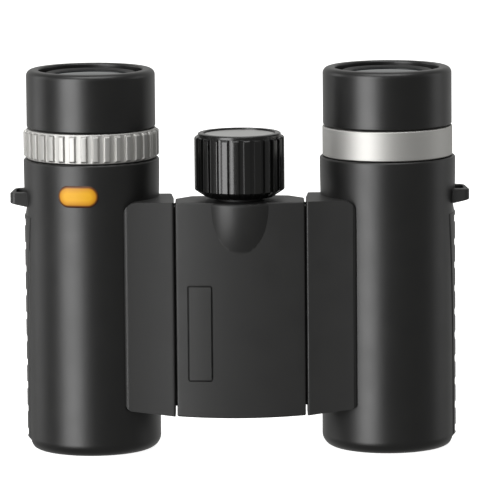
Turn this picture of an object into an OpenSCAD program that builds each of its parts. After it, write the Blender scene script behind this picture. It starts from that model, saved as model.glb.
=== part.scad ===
// Pocket binoculars with a double hinge: two barrels on a central bridge, a fluted focus wheel,
// a diopter ring on the left eyepiece and twist-up eyecups. Shown fully open, standing on the
// objective rims. Millimetres, +Z up, +X to the right, front of the bridge towards -Y.
// The origin lies under the middle of the whole object.

/* [Barrels] */
// Distance between the two barrel axes when fully open
barrel_spacing = 74; // [73:0.5:76]
// Outside radius of the rubber armour
armour_r = 16.7; // [16.5:0.1:17]
// Rounding of the armour's lower outside edge
armour_round = 3.2; // [2:0.2:3.4]
// Outside radius of the hard barrel tube
tube_r = 15.2; // [15:0.1:15.4]
// Bore radius of the hard barrel tube
tube_bore_r = 13.7; // [13.5:0.1:13.8]
// Height of the armour's top edge
armour_top = 73.3; // [73:0.1:73.4]
// Radius of the recess that an objective cap plugs into
cap_bore_r = 12.8; // [12.7:0.1:12.9]
// Depth of that recess
cap_bore_depth = 3.6; // [3:0.2:4]

/* [Bridge] */
// Half of the bridge's width
bridge_half_w = 16; // [15.5:0.1:16.2]
// Gap between the bridge and each arm
bridge_gap = 0.4; // [0.3:0.1:0.6]
// Distance of the bridge's front face from the plane of the barrel axes
bridge_front = 17; // [16.6:0.1:17.4]
// How far the front face bulges over its width
bridge_bulge = 1.1; // [0.6:0.1:1.6]
// Height of the bridge's lower edge at its middle
bridge_low = 9.7; // [9:0.1:10]
// Height of the bridge's and the arms' upper edge
bridge_top = 63.8; // [63:0.1:64]
// Rounding of the upper and lower front edges
edge_round = 1.4; // [0.8:0.2:2]

/* [Hinges] */
// Distance of the hinge axes in front of the barrel axes
hinge_forward = 7.5; // [7:0.1:8]
// Radius of a hinge knuckle
knuckle_r = 3.2; // [3:0.1:3.3]
// Radius of the hinge pins
pin_r = 1.5; // [1:0.1:1.6]
// Running clearance round pins and shafts
running_gap = 0.05; // [0.03:0.01:0.08]
// Distance of the arm's outer edge from the barrel axis
arm_edge = 8; // [7:0.5:9]

/* [Focus wheel] */
// Distance of the wheel's axis in front of the barrel axes
wheel_forward = 9.4; // [9:0.1:10]
// Outside radius of the wheel
wheel_r = 11.2; // [10.5:0.1:11.6]
// Number of flutes round the wheel
flute_count = 25; // [20:1:30]
// Height of the wheel's underside
wheel_low = 64.6; // [64.5:0.1:64.8]
// Height of the wheel's top rim
wheel_top = 80.5; // [79:0.1:81]
// Radius of the focus screw in the bridge
screw_r = 2; // [1.5:0.1:2.2]

/* [Eyepieces] */
// Number of teeth on the diopter ring
tooth_count = 36; // [30:1:40]
// Outside radius over the diopter ring's teeth
diopter_r = 16.95; // [16.6:0.05:17.1]
// Outside radius of the smooth trim ring
trim_r = 16.25; // [16:0.05:16.6]
// Lower and upper height of both rings
ring_low = 73.5; // [73.4:0.1:73.6]
ring_high = 80.9; // [80:0.1:81]
// Outside radius of the eyecups
eyecup_r = 16.1; // [15.9:0.1:16.4]
// Radius of the opening in an eyecup
eyecup_bore_r = 12.5; // [12:0.1:12.8]
// Height of the eyecups' lower edge
eyecup_low = 81.3; // [81.2:0.1:81.6]
// Total height, to the eyecup rims with the eyecups down
total_height = 95.6; // [95:0.1:97]

/* [Optics] */
// Radius of the objective lens
objective_r = 12.5; // [12:0.1:12.6]
// Radius of the eye lens
eye_lens_r = 9.2; // [8:0.1:9.6]
// Height of the middle of the focusing lenses
focus_height = 38; // [37:0.5:38.5]
// Play left for the focusing travel, each way
focus_travel = 1.5; // [1:0.1:1.8]

/* [Hidden] */
$fn = 96;

// Places across the object
barrel_x = barrel_spacing / 2;
barrel_y = (wheel_forward + wheel_r - armour_r) / 2;
hinge_x = bridge_half_w + bridge_gap / 2;
hinge_y = barrel_y - hinge_forward;
wheel_y = barrel_y - wheel_forward;
front_y = barrel_y - bridge_front;
back_y = barrel_y - 2.6;

// Hinge stack: the bridge's knuckles sit outside the arm's, with a free stretch in the middle
lower_knuckles = [[12.3, 18.8], [26.2, 33.3]];
upper_knuckles = [[42.7, 49.8], [57.2, 62.3]];
arm_knuckles = [[19, 26], [50, 57]];
pin_spans = [[13.3, 33.3], [42.7, 61.3]];
plug_spans = [[12.3, 13.3], [61.3, 62.3]];
knuckle_gap = 0.2;
recess_r = knuckle_r + 0.3;
hinge_low = lower_knuckles[0][0];
hinge_high = upper_knuckles[1][1];
// The hinge axis seen from a barrel's own axis, with the bridge towards -X
arm_hinge = [hinge_x - barrel_x, -hinge_forward];
arm_angle = atan2(hinge_forward, barrel_x - hinge_x);
// Direction in which the bridge's back runs away from the hinge, clear of the folding arm
back_angle = 130;

// Inside of the bridge
cavity_half_w = 11.5;
cavity_front = barrel_y - 13.5;
cavity_low = 14;
cavity_high = 59;
cover_front = barrel_y - 4.6;
cover_low = 10.9;
cover_high = 62.7;
cover_screw_x = 10;
cover_screw_z = [12.4, 60.9];
rod_x = 8;
rod_r = 1;
plate_box = [[-13.1, 19.1], [-7.1, 43]];
plate_depth = 1.2;

// Focus mechanism
shaft_r = 2.5;
bush_r = 4.5;
grip_inner_r = 7.5;
disc_r = 8.9;
disc_top = wheel_top - 0.1;
disc_low = disc_top - 0.9;
button_half_h = 1;
fork_gap = 0.2;
fork_half_h = 2.4;
carriage_half_h = 3.8;

// Barrel fittings, optics and eyepieces
tube_low = cap_bore_depth;
lug_low = 61.7;
lug_high = 65.2;
grip_half_angle = 24;
eyepiece_r = 12.6;
eyepiece_bore_r = 11.2;
sleeve_r = 15;
sleeve_bore_r = 14;
sleeve_high = total_height - 2.6;
eyepiece_top = sleeve_high - 2;
bezel_top = total_height - 0.9;

// Points along an arc, from one angle to another
function arc_points(centre, r, from, to, steps) =
    [for (i = [0:steps]) let (a = from + (to - from) * i / steps) centre + r * [cos(a), sin(a)]];

module slab(low, high) {
    translate(low)
        cube(high - low);
}

module rod(r, low, high) {
    translate([0, 0, low])
        cylinder(r = r, h = high - low);
}

module tube(outer_r, inner_r, low, high) {
    difference() {
        rod(outer_r, low, high);
        rod(inner_r, low - 1, high + 1);
    }
}

// A round-ended slot, long way along X
module pill(length, width) {
    straight = length - width;
    square([straight, width], center = true);
    for (side = [-1, 1])
        translate([side * straight / 2, 0])
            circle(d = width);
}

// Puts a shape drawn about the right barrel's axis on either barrel
module on_barrel(side) {
    translate([side * barrel_x, barrel_y, 0])
        if (side < 0)
            mirror([1, 0, 0])
                children();
        else
            children();
}

module at_hinge(side) {
    translate([side * hinge_x, hinge_y, 0])
        children();
}

// ---- Bridge ----

// Cross-section of the bridge seen from above, without the bulge of its front
module bridge_plan() {
    run = (back_y - hinge_y - 0.4) / tan(180 - back_angle);
    shoulder = bridge_half_w - run;
    polygon([
        [-bridge_half_w, front_y - 1], [bridge_half_w, front_y - 1],
        [bridge_half_w, hinge_y], [shoulder, back_y - 0.4], [8, back_y],
        [-8, back_y], [-shoulder, back_y - 0.4], [-bridge_half_w, hinge_y]
    ]);
}

// Side view of the bridge: its front edges are rounded
module bridge_side_view() {
    nose = front_y + edge_round;
    polygon(concat(
        arc_points([nose, bridge_top - edge_round], edge_round, 90, 180, 6),
        arc_points([nose, bridge_low + edge_round], edge_round, 180, 270, 6),
        [[barrel_y, bridge_low], [barrel_y, bridge_top]]
    ));
}

module bridge_block() {
    bulge_r = (bridge_half_w ^ 2 + bridge_bulge ^ 2) / (2 * bridge_bulge);
    intersection() {
        linear_extrude(bridge_top)
            bridge_plan();
        translate([0, front_y + bulge_r, 0])
            cylinder(r = bulge_r, h = bridge_top, $fn = 200);
        rotate([90, 0, 90])
            translate([0, 0, -bridge_half_w - 1])
                linear_extrude(2 * bridge_half_w + 2)
                    bridge_side_view();
    }
}

// Half-round bump under the wheel that fades into the bridge's front face
module wheel_bump() {
    bump_r = 10.1;
    lean = 11;
    intersection() {
        translate([0, wheel_y, bridge_top])
            rotate([lean, 0, 0])
                translate([0, 0, -20])
                    cylinder(r = bump_r, h = 24);
        slab([-9, wheel_y - 12, 46], [9, wheel_y - 2, bridge_top]);
    }
}

module bridge_knuckles() {
    for (side = [-1, 1], span = concat(lower_knuckles, upper_knuckles))
        at_hinge(side)
            rod(knuckle_r, span[0], span[1]);
}

// Thin lip of the bridge that stands behind the gap beside the arm
module gap_lips() {
    lip_y = hinge_y - recess_r;
    for (side = [-1, 1])
        translate([side * (bridge_half_w + 0.5) - 0.6, lip_y - 1.4, hinge_low])
            cube([1.2, 1.1, hinge_high - hinge_low]);
}

module hinge_recesses(spans) {
    for (side = [-1, 1], span = spans)
        at_hinge(side)
            rod(recess_r, span[0], span[1]);
}

module bridge_cavity() {
    slab([-cavity_half_w, cavity_front, cavity_low], [cavity_half_w, barrel_y, cavity_high]);
    // Windows for the carriage's forks
    slab(
        [-hinge_x, barrel_y - 10.5, focus_height - fork_half_h - focus_travel - 0.4],
        [hinge_x, cover_front - 0.2, focus_height + fork_half_h + focus_travel + 0.4]
    );
}

module cover_recess() {
    slab([-12, cover_front, cover_low], [12, barrel_y, cover_high]);
}

module plate_outline(grow) {
    size = plate_box[1] - plate_box[0];
    centre = (plate_box[0] + plate_box[1]) / 2;
    corner = 1;
    translate(centre) {
        square(size + [2 * grow, -2 * corner], center = true);
        square(size + [-2 * corner, 2 * grow], center = true);
        for (x = [-1, 1], z = [-1, 1])
            translate([x * (size[0] / 2 - corner), z * (size[1] / 2 - corner)])
                circle(r = corner + grow);
    }
}

module plate_prism(grow, low_y) {
    translate([0, low_y, 0])
        rotate([90, 0, 0])
            linear_extrude(6)
                plate_outline(grow);
}

module bridge_housing() {
    color("#232325")
        difference() {
            union() {
                difference() {
                    union() {
                        bridge_block();
                        wheel_bump();
                    }
                    hinge_recesses([
                        [lower_knuckles[0][1], lower_knuckles[1][0]],
                        [lower_knuckles[1][1], upper_knuckles[0][0]],
                        [upper_knuckles[0][1], upper_knuckles[1][0]]
                    ]);
                }
                bridge_knuckles();
                gap_lips();
            }
            bridge_cavity();
            cover_recess();
            plate_prism(0.15, front_y + plate_depth);
            for (side = [-1, 1]) {
                at_hinge(side)
                    rod(pin_r, hinge_low - 5, hinge_high + 5);
                translate([side * rod_x, wheel_y, 0])
                    rod(rod_r, cavity_low - 2, cavity_high + 2);
                for (z = cover_screw_z)
                    translate([side * cover_screw_x, cover_front - 4.2, z])
                        rotate([-90, 0, 0])
                            cylinder(r = 0.6, h = 6);
            }
            translate([0, wheel_y, 0]) {
                rod(screw_r + running_gap, cavity_low - 2.8, cavity_low + 1);
                rod(bush_r, cavity_high - 1, bridge_top + 1);
            }
        }
}

module bridge_back_cover() {
    color("#1f1f21")
        difference() {
            intersection() {
                bridge_block();
                slab([-12, cover_front, cover_low], [12, barrel_y, cover_high]);
            }
            for (side = [-1, 1], z = cover_screw_z)
                translate([side * cover_screw_x, cover_front - 1, z])
                    rotate([-90, 0, 0]) {
                        cylinder(r = 0.8, h = 4);
                        translate([0, 0, 1.9])
                            cylinder(r = 1.5, h = 4);
                    }
        }
}

module back_cover_screws() {
    color("#3a3a3c")
        for (side = [-1, 1], z = cover_screw_z)
            translate([side * cover_screw_x, cover_front, z])
                rotate([-90, 0, 0])
                    difference() {
                        union() {
                            translate([0, 0, -4])
                                cylinder(r = 0.6, h = 4.95);
                            translate([0, 0, 0.9])
                                cylinder(r = 1.4, h = 0.8);
                        }
                        for (turn = [0, 90])
                            rotate([0, 0, turn])
                                translate([-0.9, -0.15, 1.3])
                                    cube([1.8, 0.3, 1]);
                    }
}

module name_plate() {
    color("#161618")
        intersection() {
            bridge_block();
            plate_prism(0, front_y + plate_depth);
        }
}

module shaft_bush() {
    color("#8f8f92")
        translate([0, wheel_y, 0])
            difference() {
                union() {
                    rod(bush_r, cavity_high, bridge_top);
                    rod(bush_r + 1.5, bridge_top, bridge_top + 0.5);
                }
                rod(shaft_r + running_gap, cavity_high - 1, bridge_top + 2);
            }
}

module guide_rods() {
    color("#b8b8ba")
        for (side = [-1, 1])
            translate([side * rod_x, wheel_y, 0])
                rod(rod_r, cavity_low - 2, cavity_high + 2);
}

module hinge_pins(side) {
    color("#a9a9ac")
        for (span = pin_spans)
            at_hinge(side)
                rod(pin_r, span[0], span[1]);
}

module left_hinge_pins() {
    hinge_pins(-1);
}

module right_hinge_pins() {
    hinge_pins(1);
}

module hinge_pin_plugs() {
    color("#2a2a2c")
        for (side = [-1, 1], span = plug_spans)
            at_hinge(side)
                rod(pin_r, span[0], span[1]);
}

// ---- Focus wheel and carriage ----

module focus_hub() {
    color("#2b2b2d")
        translate([0, wheel_y, 0])
            difference() {
                rod(grip_inner_r, wheel_low, disc_low);
                rod(shaft_r, wheel_low - 1, disc_low + 1);
                rod(4.2, disc_low - 3, disc_low + 1);
            }
}

module focus_grip() {
    flute_r = 0.65;
    flute_start = 10;
    rib_drop = 1.3;
    color("#1b1b1c")
        translate([0, wheel_y, 0])
            difference() {
                rotate_extrude()
                    polygon([
                        [grip_inner_r, wheel_low], [wheel_r - 2.7, wheel_low],
                        [wheel_r, wheel_low + 1.8], [wheel_r, wheel_top - rib_drop],
                        [wheel_r - 0.25, wheel_top - 1], [wheel_r - 0.8, wheel_top - 0.85],
                        [wheel_r - 0.85, wheel_top - 0.4], [wheel_r - 1.2, wheel_top],
                        [disc_r, wheel_top], [disc_r, disc_low], [grip_inner_r, disc_low]
                    ]);
                for (i = [0:flute_count - 1])
                    rotate([0, 0, flute_start + i * 360 / flute_count])
                        translate([0, -wheel_r, 0])
                            rod(flute_r, wheel_low - 1, wheel_top - 0.6);
            }
}

module focus_cap_disc() {
    color("#a8a8aa")
        translate([0, wheel_y, 0])
            rod(disc_r, disc_low, disc_top);
}

module focus_screw() {
    shaft_top = disc_low - 4;
    color("#c2c2c4")
        translate([0, wheel_y, 0])
            difference() {
                union() {
                    rod(screw_r, cavity_low - 2.6, cavity_high - 1.5);
                    rod(shaft_r, cavity_high - 1.5, shaft_top);
                }
                rod(1, shaft_top - 7, shaft_top + 1);
            }
}

module focus_hub_screw() {
    color("#555558")
        translate([0, wheel_y, 0])
            difference() {
                union() {
                    rod(1, disc_low - 9, disc_low - 3);
                    rod(3.8, disc_low - 3, disc_low - 0.8);
                }
                for (turn = [0, 90])
                    rotate([0, 0, turn])
                        translate([-2.2, -0.4, disc_low - 1.9])
                            cube([4.4, 0.8, 2]);
            }
}

module shaft_circlip() {
    color("#6f6f72")
        translate([0, wheel_y, 0])
            difference() {
                tube(4, shaft_r, cavity_high - 1, cavity_high - 0.2);
                translate([-0.8, 0, cavity_high - 2])
                    cube([1.6, 6, 3]);
            }
}

// Cross-bar on the focus screw; each forked end holds the button of a focusing cell
module focus_carriage() {
    body_low = focus_height - carriage_half_h;
    body_high = focus_height + carriage_half_h;
    slot_half_h = button_half_h + fork_gap;
    color("#8a8a8d")
        difference() {
            union() {
                slab([-11, barrel_y - 12.8, body_low], [11, barrel_y - 5.6, body_high]);
                for (side = [-1, 1]) {
                    at_hinge(side)
                        rod(2.6, focus_height - fork_half_h, focus_height + fork_half_h);
                    slab(
                        [side * 13.5 - 3, barrel_y - 9.9, focus_height - fork_half_h],
                        [side * 13.5 + 3, barrel_y - 5.6, focus_height + fork_half_h]
                    );
                }
            }
            for (side = [-1, 1]) {
                at_hinge(side)
                    rod(2.8, focus_height - slot_half_h, focus_height + slot_half_h);
                slab(
                    [side * 17.4 - 2.4, barrel_y - 12, focus_height - slot_half_h],
                    [side * 17.4 + 2.4, barrel_y - 4, focus_height + slot_half_h]
                );
                translate([side * rod_x, wheel_y, 0])
                    rod(rod_r + running_gap, body_low - 1, body_high + 1);
            }
            translate([0, wheel_y, 0])
                rod(3.3, body_low - 1, body_high + 1);
        }
}

module carriage_nut() {
    body_low = focus_height - carriage_half_h;
    color("#c9a34e")
        translate([0, wheel_y, 0])
            difference() {
                union() {
                    rod(3.3, body_low, focus_height + carriage_half_h);
                    rod(3.9, body_low - 1, body_low);
                }
                rod(screw_r + running_gap, body_low - 2, focus_height + carriage_half_h + 1);
            }
}

// ---- Barrels, drawn about the right barrel's axis with the bridge towards -X ----

// The arm that joins a barrel to its hinge, as an outline from above
module arm_plan() {
    inner = bridge_half_w + bridge_gap - barrel_x;
    polygon([
        [inner, -20], [-arm_edge, -20], [-arm_edge, -10],
        [-12, 2.2], [inner + 0.7, 2.2], [inner, -hinge_forward]
    ]);
}

// The arm's front outline, with its outer corners rounded
module arm_front_view() {
    inner = bridge_half_w + bridge_gap - barrel_x;
    top_r = 3.6;
    low_r = 2;
    low_edge = bridge_low + 1.9;
    polygon(concat(
        [[inner - 1, bridge_low + 0.4]],
        arc_points([-arm_edge - low_r, low_edge + low_r], low_r, -84, 0, 6),
        arc_points([-arm_edge - top_r, bridge_top - top_r], top_r, 0, 90, 8),
        [[inner - 1, bridge_top]]
    ));
}

module arm_block() {
    intersection() {
        linear_extrude(bridge_top + 1)
            arm_plan();
        translate([-17.6, 44, 0])
            cylinder(r = 60, h = bridge_top + 1, $fn = 200);
        translate([0, 10, 0])
            rotate([90, 0, 0])
                linear_extrude(40)
                    arm_front_view();
    }
}

module at_arm_hinge() {
    translate([arm_hinge[0], arm_hinge[1], 0])
        children();
}

module barrel_housing() {
    hinge_cuts = [
        [hinge_low - knuckle_gap, arm_knuckles[0][0]],
        [arm_knuckles[0][1], arm_knuckles[1][0]],
        [arm_knuckles[1][1], hinge_high + knuckle_gap]
    ];
    slot_half_h = button_half_h + focus_travel + 0.3;
    color("#242426")
        difference() {
            union() {
                rod(tube_r, tube_low, armour_top);
                difference() {
                    arm_block();
                    at_arm_hinge()
                        for (span = hinge_cuts)
                            rod(recess_r, span[0], span[1]);
                }
                at_arm_hinge()
                    for (span = arm_knuckles)
                        rod(knuckle_r, span[0], span[1]);
            }
            rod(tube_bore_r, tube_low - 1, armour_top + 1);
            at_arm_hinge() {
                rod(pin_r + running_gap, hinge_low - 3, hinge_high + 3);
                // Rebate that clears the bridge's lip
                slab(
                    [-1, -recess_r - 1.7, hinge_low - 0.3],
                    [1.3, -recess_r + 0.1, hinge_high + 0.3]
                );
                // Slot for the focusing cell's arm
                rotate([0, 0, arm_angle])
                    slab([0, -1.8, focus_height - slot_half_h], [10, 1.8, focus_height + slot_half_h]);
            }
        }
}

module lug_window() {
    slab([14, -5.6, lug_low - 0.1], [22, 5.6, lug_high + 0.1]);
}

module grip_sector(inner_r, outer_r, low, high, half_angle) {
    rotate([0, 0, -half_angle])
        rotate_extrude(angle = 2 * half_angle)
            translate([inner_r, low])
                square([outer_r - inner_r, high - low]);
}

module armour() {
    flare_r = armour_r + 0.25;
    lip_flat = armour_r - armour_round;
    color("#1d1d1f")
        difference() {
            rotate_extrude()
                polygon(concat(
                    [[cap_bore_r, cap_bore_depth], [cap_bore_r, 0]],
                    arc_points([lip_flat, armour_round], armour_round, -90, 0, 8),
                    [
                        [armour_r, 58], [flare_r, 70.5], [flare_r, armour_top - 0.5],
                        [flare_r - 0.5, armour_top], [tube_r, armour_top], [tube_r, cap_bore_depth]
                    ]
                ));
            arm_block();
            lug_window();
            grip_sector(armour_r - 0.8, armour_r + 1, 3.4, 59.6, grip_half_angle + 0.1);
        }
}

// Ribbed pad let into the armour on the outer side of a barrel
module side_grip() {
    pad_r = armour_r + 0.2;
    rib_pitch = 5.9;
    rib_gap = 2;
    color("#19191a")
        difference() {
            grip_sector(armour_r - 0.8, pad_r, 3.5, 59.5, grip_half_angle);
            for (i = [0:8])
                translate([0, 0, 9.1 + i * rib_pitch])
                    tube(pad_r + 1, pad_r - 0.25, 0, rib_gap);
        }
}

// Loop for the strap, its slot running along Z and its outer end narrower towards the back
module strap_lug() {
    slot_x = 17.6;
    color("#1e1e20")
        difference() {
            translate([0, 0, lug_low])
                linear_extrude(lug_high - lug_low)
                    polygon([[13, -5.5], [19.6, -5.5], [20.4, -4.7], [19.4, 4.8], [18.7, 5.5], [13, 5.5]]);
            rod(tube_r, lug_low - 5, lug_high + 5);
            translate([slot_x, 0, lug_low - 1])
                linear_extrude(lug_high - lug_low + 2)
                    rotate(90)
                        pill(6.4, 2.4);
            // Slanted underside
            translate([16.5, -8, lug_low])
                rotate([0, -14, 0])
                    translate([0, 0, -3])
                        cube([8, 16, 3]);
        }
}

module objective_cell() {
    color("#1a1a1b")
        tube(tube_bore_r, objective_r, tube_low, 16);
}

module objective_lens() {
    lens_mid = 8;
    color("#7f9fa8")
        rotate_extrude()
            polygon(concat(
                [[0, lens_mid + 2.5]], [[0, lens_mid - 2.8]],
                [for (i = [1:8]) [objective_r * i / 8, lens_mid - 2.8 + 1.6 * (i / 8) ^ 2]],
                [for (i = [8:-1:1]) [objective_r * i / 8, lens_mid + 2.5 - 1 * (i / 8) ^ 2]]
            ));
}

module objective_ring() {
    color("#141415")
        tube(objective_r, objective_r - 0.7, 4.2, 5.6);
}

module prism_holder() {
    color("#2d2d2f")
        difference() {
            rod(tube_bore_r, 45, 64.5);
            slab([-8.6, -9, 44], [8.6, 9, 66]);
        }
}

// Half-penta prism below a roof prism, with a thin air gap between them
module prisms() {
    color("#9fb2b8")
        translate([-8.6, 0, 0])
            rotate([90, 0, 90])
                linear_extrude(17.2) {
                    polygon([[-9, 46], [9, 46], [9, 49], [4, 54], [-9, 51.5]]);
                    polygon([[-9, 52], [4.4, 54.7], [9, 59], [9, 63.5], [-9, 63.5]]);
                }
}

module eyepiece_tube() {
    color("#202022")
        difference() {
            union() {
                rod(tube_bore_r, 66, 72);
                rod(eyepiece_r, 72, eyepiece_top);
            }
            rod(eyepiece_bore_r, 65, eyepiece_top + 1);
        }
}

module focus_cell() {
    arm_length = norm(arm_hinge) - 12.5;
    color("#8d8d90")
        difference() {
            union() {
                rod(tube_bore_r - 0.1, focus_height - 3.5, focus_height + 3.5);
                at_arm_hinge() {
                    rod(2.4, focus_height - button_half_h, focus_height + button_half_h);
                    rotate([0, 0, arm_angle])
                        slab(
                            [0, -1.5, focus_height - button_half_h],
                            [arm_length, 1.5, focus_height + button_half_h]
                        );
                }
            }
            rod(11.2, focus_height - 5, focus_height + 5);
        }
}

module focus_lens() {
    color("#86a4ac")
        rotate_extrude()
            polygon(concat(
                [[0, focus_height + 0.8]], [[0, focus_height - 0.8]],
                [for (i = [1:6]) [11.2 * i / 6, focus_height - 0.8 - 1.2 * (i / 6) ^ 2]],
                [[11.2, focus_height + 0.8]]
            ));
}

module ring_profile(outer_r, bore_r, edge) {
    polygon([
        [bore_r, ring_low], [outer_r - edge, ring_low], [outer_r, ring_low + edge],
        [outer_r, ring_high - edge], [outer_r - edge, ring_high], [bore_r, ring_high]
    ]);
}

// Knurled ring with square-edged teeth on a plain core
module diopter_ring() {
    valley_r = diopter_r - 0.75;
    core_r = valley_r - 0.05;
    pitch = 360 / tooth_count;
    groove = 0.46 * diopter_r * sin(pitch);
    color("#c9c9cb")
        difference() {
            rotate_extrude()
                polygon([
                    [eyepiece_r + 0.1, ring_low], [core_r - 0.3, ring_low],
                    [core_r, ring_low + 0.3], [core_r, ring_low + 0.7],
                    [diopter_r, ring_low + 1.4], [diopter_r, ring_high - 1.4],
                    [core_r, ring_high - 0.7], [core_r, ring_high - 0.3],
                    [core_r - 0.3, ring_high], [eyepiece_r + 0.1, ring_high]
                ]);
            for (i = [0:tooth_count - 1])
                rotate([0, 0, i * pitch])
                    slab([valley_r, -groove / 2, ring_low], [valley_r + 3, groove / 2, ring_high]);
        }
}

module trim_ring() {
    color("#c6c6c8")
        rotate_extrude()
            ring_profile(trim_r, eyepiece_r, 0.35);
}

// Tube that carries the eye lens at its top and the field lens at its foot
module ocular_cell(outer_r) {
    color("#17171a")
        rotate_extrude()
            polygon([
                [eye_lens_r, bezel_top - 3.4], [eye_lens_r, bezel_top - 0.3],
                [eye_lens_r + 1, bezel_top], [outer_r, bezel_top], [outer_r, 76],
                [eye_lens_r - 0.6, 76], [eye_lens_r - 0.6, bezel_top - 3.4]
            ]);
}

module ocular_lenses() {
    eye_low = bezel_top - 3.4;
    color("#8fa6ad") {
        rotate_extrude()
            polygon(concat(
                [[0, eye_low]], [[eye_lens_r, eye_low]],
                [for (i = [6:-1:0]) [eye_lens_r * i / 6, bezel_top - 0.35 + 0.3 * (1 - (i / 6) ^ 2)]]
            ));
        rod(eye_lens_r - 0.6, 77, 80);
    }
}

module eyecup_cam() {
    color("#303032")
        tube(sleeve_bore_r - 0.1, eyepiece_r + 0.1, eyecup_low + 0.1, 90);
}

module eyecup_sleeve() {
    color("#28282a")
        tube(sleeve_r, sleeve_bore_r, eyecup_low + 0.1, sleeve_high);
}

module eyecup_rubber() {
    lip_r = 1.4;
    rim_r = 0.7;
    color("#1a1a1b")
        rotate_extrude()
            polygon(concat(
                [[sleeve_r, sleeve_high], [sleeve_r, eyecup_low], [eyecup_r - 0.3, eyecup_low]],
                [[eyecup_r, eyecup_low + 0.3]],
                arc_points([eyecup_r - lip_r, total_height - lip_r], lip_r, 0, 90, 6),
                arc_points([eyecup_bore_r + rim_r, total_height - rim_r], rim_r, 90, 180, 4),
                [[eyecup_bore_r, sleeve_high]]
            ));
}

// ---- One module a node ----

module left_barrel_housing() { on_barrel(-1) barrel_housing(); }
module left_armour() {
    color("#1d1d1f")
        difference() {
            on_barrel(-1) armour();
            badge_block(1, 0.05);
        }
}

module left_side_grip() { on_barrel(-1) side_grip(); }
module left_strap_lug() { on_barrel(-1) strap_lug(); }
module left_objective_cell() { on_barrel(-1) objective_cell(); }
module left_objective_lens() { on_barrel(-1) objective_lens(); }
module left_objective_ring() { on_barrel(-1) objective_ring(); }
module left_prism_holder() { on_barrel(-1) prism_holder(); }
module left_prisms() { on_barrel(-1) prisms(); }
module left_eyepiece_tube() { on_barrel(-1) eyepiece_tube(); }
module left_focus_cell() { on_barrel(-1) focus_cell(); }
module left_focus_lens() { on_barrel(-1) focus_lens(); }
module left_diopter_ring() { on_barrel(-1) diopter_ring(); }
module left_ocular_cell() { on_barrel(-1) ocular_cell(eyepiece_bore_r - 0.1); }
module left_ocular_lenses() { on_barrel(-1) ocular_lenses(); }
module left_eyecup_cam() { on_barrel(-1) eyecup_cam(); }
module left_eyecup_sleeve() { on_barrel(-1) eyecup_sleeve(); }
module left_eyecup_rubber() { on_barrel(-1) eyecup_rubber(); }

// Plain blank badge, let into the front of the left barrel
module badge_block(height, clearance) {
    translate([-barrel_x, barrel_y, 0])
        intersection() {
            tube(armour_r + height, armour_r, 60, 70);
            translate([-3, 0, 65.6])
                rotate([90, 0, 0])
                    linear_extrude(20)
                        pill(10.4 + 2 * clearance, 5.6 + 2 * clearance);
        }
}

module left_badge() {
    color("#e0a01c")
        badge_block(0.6, 0);
}

module right_barrel_housing() { on_barrel(1) barrel_housing(); }
module right_armour() { on_barrel(1) armour(); }
module right_side_grip() { on_barrel(1) side_grip(); }
module right_strap_lug() { on_barrel(1) strap_lug(); }
module right_objective_cell() { on_barrel(1) objective_cell(); }
module right_objective_lens() { on_barrel(1) objective_lens(); }
module right_objective_ring() { on_barrel(1) objective_ring(); }
module right_prism_holder() { on_barrel(1) prism_holder(); }
module right_prisms() { on_barrel(1) prisms(); }
module right_eyepiece_tube() { on_barrel(1) eyepiece_tube(); }
module right_focus_cell() { on_barrel(1) focus_cell(); }
module right_focus_lens() { on_barrel(1) focus_lens(); }
module right_trim_ring() { on_barrel(1) trim_ring(); }
module right_ocular_cell() { on_barrel(1) ocular_cell(eyepiece_bore_r); }
module right_ocular_lenses() { on_barrel(1) ocular_lenses(); }
module right_eyecup_cam() { on_barrel(1) eyecup_cam(); }
module right_eyecup_sleeve() { on_barrel(1) eyecup_sleeve(); }
module right_eyecup_rubber() { on_barrel(1) eyecup_rubber(); }

bridge_housing();
bridge_back_cover();
back_cover_screws();
name_plate();
shaft_bush();
guide_rods();
left_hinge_pins();
right_hinge_pins();
hinge_pin_plugs();
focus_hub();
focus_grip();
focus_cap_disc();
focus_screw();
focus_hub_screw();
shaft_circlip();
focus_carriage();
carriage_nut();
left_barrel_housing();
left_armour();
left_side_grip();
left_strap_lug();
left_badge();
left_objective_cell();
left_objective_lens();
left_objective_ring();
left_prism_holder();
left_prisms();
left_eyepiece_tube();
left_focus_cell();
left_focus_lens();
left_diopter_ring();
left_ocular_cell();
left_ocular_lenses();
left_eyecup_cam();
left_eyecup_sleeve();
left_eyecup_rubber();
right_barrel_housing();
right_armour();
right_side_grip();
right_strap_lug();
right_objective_cell();
right_objective_lens();
right_objective_ring();
right_prism_holder();
right_prisms();
right_eyepiece_tube();
right_focus_cell();
right_focus_lens();
right_trim_ring();
right_ocular_cell();
right_ocular_lenses();
right_eyecup_cam();
right_eyecup_sleeve();
right_eyecup_rubber();
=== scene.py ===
import math

import bmesh
import bpy
from mathutils import Matrix, Vector


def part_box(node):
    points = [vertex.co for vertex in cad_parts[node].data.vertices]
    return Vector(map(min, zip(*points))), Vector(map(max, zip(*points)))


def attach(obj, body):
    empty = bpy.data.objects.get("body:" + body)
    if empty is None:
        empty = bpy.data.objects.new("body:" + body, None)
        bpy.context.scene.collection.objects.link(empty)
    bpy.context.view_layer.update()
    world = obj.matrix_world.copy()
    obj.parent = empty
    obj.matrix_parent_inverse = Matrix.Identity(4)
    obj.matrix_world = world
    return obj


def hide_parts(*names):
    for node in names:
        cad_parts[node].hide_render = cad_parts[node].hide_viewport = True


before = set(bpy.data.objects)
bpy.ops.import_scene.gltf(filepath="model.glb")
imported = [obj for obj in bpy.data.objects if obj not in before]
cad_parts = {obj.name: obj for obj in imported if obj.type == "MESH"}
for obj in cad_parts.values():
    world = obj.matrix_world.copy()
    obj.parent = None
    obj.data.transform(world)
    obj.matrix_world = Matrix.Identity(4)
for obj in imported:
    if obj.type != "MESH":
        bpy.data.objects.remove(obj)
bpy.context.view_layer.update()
mm = 0.001
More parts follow.
